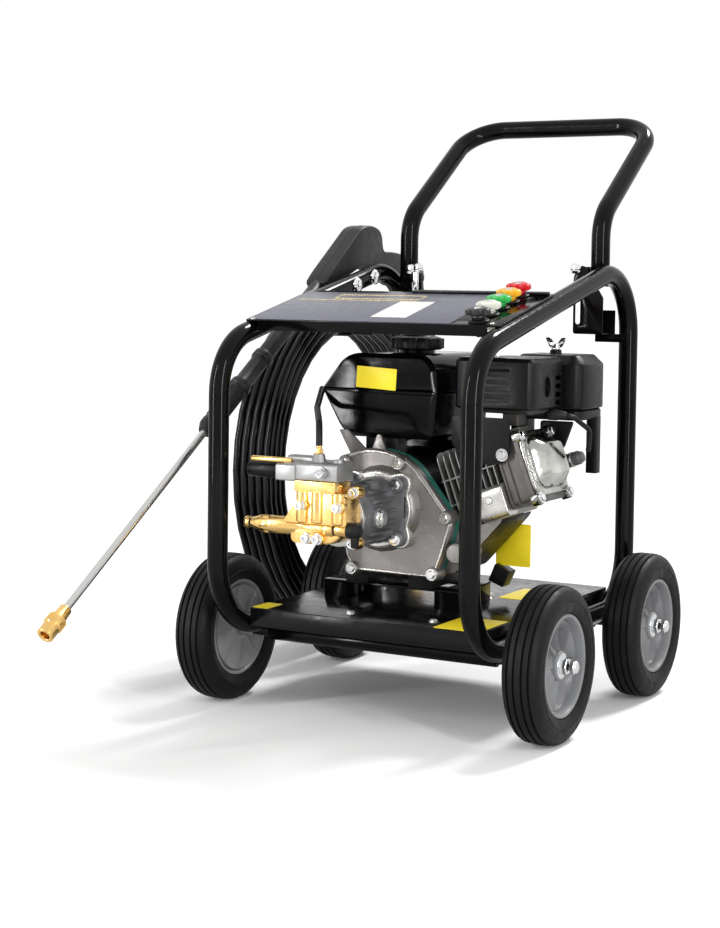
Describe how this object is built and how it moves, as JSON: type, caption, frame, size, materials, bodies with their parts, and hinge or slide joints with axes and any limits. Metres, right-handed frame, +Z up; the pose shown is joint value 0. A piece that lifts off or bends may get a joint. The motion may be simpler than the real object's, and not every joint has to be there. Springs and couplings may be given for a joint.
{
  "type": "pressure washer",
  "caption": "Petrol pressure washer: engine, axial pump, spray gun, tips and hose on a wheeled tube cart",
  "frame": {"origin": "on the floor, in the middle of the footprint of everything but the wound hose", "axes": "+Y runs back from the lance tip to the push handle, +X is to the right seen from the pump end, +Z is up"},
  "size_m": [0.6442, 1.1055, 0.8319],
  "materials": {
    "frame_black": "gloss black paint over steel",
    "axle_steel": "plain zinc-plated bar",
    "tyre_rubber": "matt black rubber",
    "rim_grey": "grey moulded plastic",
    "cast_aluminium": "bead-blasted casting",
    "polished_aluminium": "polished pressing",
    "black_plastic": "black moulding",
    "gloss_black": "gloss black enamel",
    "muffler_steel": "heat-dulled steel",
    "chrome": "bright plating",
    "pump_grey": "dark grey casting",
    "brass": "bright forged brass",
    "lance_steel": "satin steel tube",
    "hose_rubber": "black ribbed hose cover",
    "tip_black": "black",
    "tip_white": "white",
    "tip_green": "green",
    "tip_yellow": "yellow",
    "tip_red": "red"
  },
  "bodies": {
    "cart": {"frame_hoop_left": "frame_black", "frame_hoop_right": "frame_black", "base_tray": "frame_black", "front_axle": "axle_steel", "rear_axle": "axle_steel", "top_panel": "frame_black", "handle_bracket_right": "frame_black", "handle_bracket_left": "frame_black", "engine_side_cover": "cast_aluminium", "crankcase": "cast_aluminium", "cylinder_barrel": "cast_aluminium", "cylinder_head": "cast_aluminium", "rocker_cover": "polished_aluminium", "spark_plug_cap": "black_plastic", "fuel_tank": "gloss_black", "muffler_guard": "black_plastic", "muffler": "muffler_steel", "air_filter_base": "black_plastic", "air_filter_cover": "black_plastic", "carburettor": "cast_aluminium", "fan_housing": "gloss_black", "recoil_starter": "black_plastic", "engine_cradle": "frame_black", "pump_body": "pump_grey", "pump_manifold": "brass", "water_tube": "brass", "inlet_cap": "black_plastic", "unloader_block": "cast_aluminium", "detergent_nipple": "brass", "gun_holder": "frame_black", "hose_hanger": "frame_black", "hose_coil": "hose_rubber", "hose_fitting_inner": "brass", "hose_fitting_outer": "brass"},
    "wheel_front_left": {"tyre_front_left": "tyre_rubber", "rim_front_left": "rim_grey"},
    "wheel_front_right": {"tyre_front_right": "tyre_rubber", "rim_front_right": "rim_grey"},
    "wheel_rear_left": {"tyre_rear_left": "tyre_rubber", "rim_rear_left": "rim_grey"},
    "wheel_rear_right": {"tyre_rear_right": "tyre_rubber", "rim_rear_right": "rim_grey"},
    "handle": {"handle_tube": "frame_black"},
    "fuel_cap": {"fuel_cap": "black_plastic"},
    "filter_nut": {"filter_wing_nut": "chrome"},
    "oil_plug": {"oil_plug": "black_plastic"},
    "choke": {"choke_lever": "black_plastic"},
    "switch": {"engine_switch": "black_plastic"},
    "starter": {"starter_grip": "black_plastic"},
    "pressure_knob": {"unloader_knob": "black_plastic"},
    "tip_black": {"tip_black": "tip_black"},
    "tip_white": {"tip_white": "tip_white"},
    "tip_green": {"tip_green": "tip_green"},
    "tip_yellow": {"tip_yellow": "tip_yellow"},
    "tip_red": {"tip_red": "tip_red"},
    "gun": {"lance_coupler": "brass", "lance_tube": "lance_steel", "lance_sleeve": "black_plastic", "gun_shell": "black_plastic"},
    "trigger": {"gun_trigger": "black_plastic"}
  },
  "joints": [
    {"name": "wheel_front_left_roll", "type": "hinge", "parent": "cart", "child": "wheel_front_left", "pos_m": [-0.1972, -0.08145, 0.1], "axis": [1, 0, 0], "continuous": true},
    {"name": "wheel_front_right_roll", "type": "hinge", "parent": "cart", "child": "wheel_front_right", "pos_m": [0.2838, -0.08145, 0.1], "axis": [1, 0, 0], "continuous": true},
    {"name": "wheel_rear_left_roll", "type": "hinge", "parent": "cart", "child": "wheel_rear_left", "pos_m": [-0.1972, 0.24455, 0.1], "axis": [1, 0, 0], "continuous": true},
    {"name": "wheel_rear_right_roll", "type": "hinge", "parent": "cart", "child": "wheel_rear_right", "pos_m": [0.2838, 0.24455, 0.1], "axis": [1, 0, 0], "continuous": true},
    {"name": "handle_fold", "type": "hinge", "parent": "cart", "child": "handle", "pos_m": [0.0433, 0.27555, 0.583], "axis": [-1, 0, 0], "range_deg": [0, 120]},
    {"name": "fuel_cap_turn", "type": "hinge", "parent": "cart", "child": "fuel_cap", "pos_m": [0.0193, 0.05555, 0.494], "axis": [0, 0, 1], "continuous": true},
    {"name": "filter_nut_turn", "type": "hinge", "parent": "cart", "child": "filter_nut", "pos_m": [0.1883, 0.14255, 0.49], "axis": [0, 0, 1], "continuous": true},
    {"name": "oil_plug_turn", "type": "hinge", "parent": "cart", "child": "oil_plug", "pos_m": [0.1263, -0.02345, 0.22], "axis": [0, 1, 0], "continuous": true},
    {"name": "choke_swing", "type": "hinge", "parent": "cart", "child": "choke", "pos_m": [0.1393, 0.14155, 0.322], "axis": [0, 1, 0], "range_deg": [-35, 35]},
    {"name": "switch_turn", "type": "hinge", "parent": "cart", "child": "switch", "pos_m": [0.1153, 0.14655, 0.263], "axis": [0, 1, 0], "range_deg": [0, 60]},
    {"name": "starter_pull", "type": "slide", "parent": "cart", "child": "starter", "axis": [0, 1, 0], "range_m": [0, 0.06], "stiffness_N_per_m": 25},
    {"name": "pressure_knob_turn", "type": "hinge", "parent": "cart", "child": "pressure_knob", "pos_m": [-0.082, -0.16905, 0.33], "axis": [1, 0, 0], "continuous": true},
    {"name": "tip_black_lift", "type": "slide", "parent": "cart", "child": "tip_black", "axis": [0, -0.2283, 0.9736], "range_m": [0, 0.028]},
    {"name": "tip_white_lift", "type": "slide", "parent": "cart", "child": "tip_white", "axis": [0, -0.2283, 0.9736], "range_m": [0, 0.028]},
    {"name": "tip_green_lift", "type": "slide", "parent": "cart", "child": "tip_green", "axis": [0, -0.2283, 0.9736], "range_m": [0, 0.028]},
    {"name": "tip_yellow_lift", "type": "slide", "parent": "cart", "child": "tip_yellow", "axis": [0, -0.2283, 0.9736], "range_m": [0, 0.028]},
    {"name": "tip_red_lift", "type": "slide", "parent": "cart", "child": "tip_red", "axis": [0, -0.2283, 0.9736], "range_m": [0, 0.028]},
    {"name": "gun_lift", "type": "slide", "parent": "cart", "child": "gun", "axis": [0, 0, 1], "range_m": [0, 0.06]},
    {"name": "trigger_squeeze", "type": "hinge", "parent": "gun", "child": "trigger", "pos_m": [-0.1847, 0.1806, 0.58266], "axis": [1, 0, 0], "range_deg": [0, 22], "stiffness_Nm_per_rad": 0.3}
  ]
}
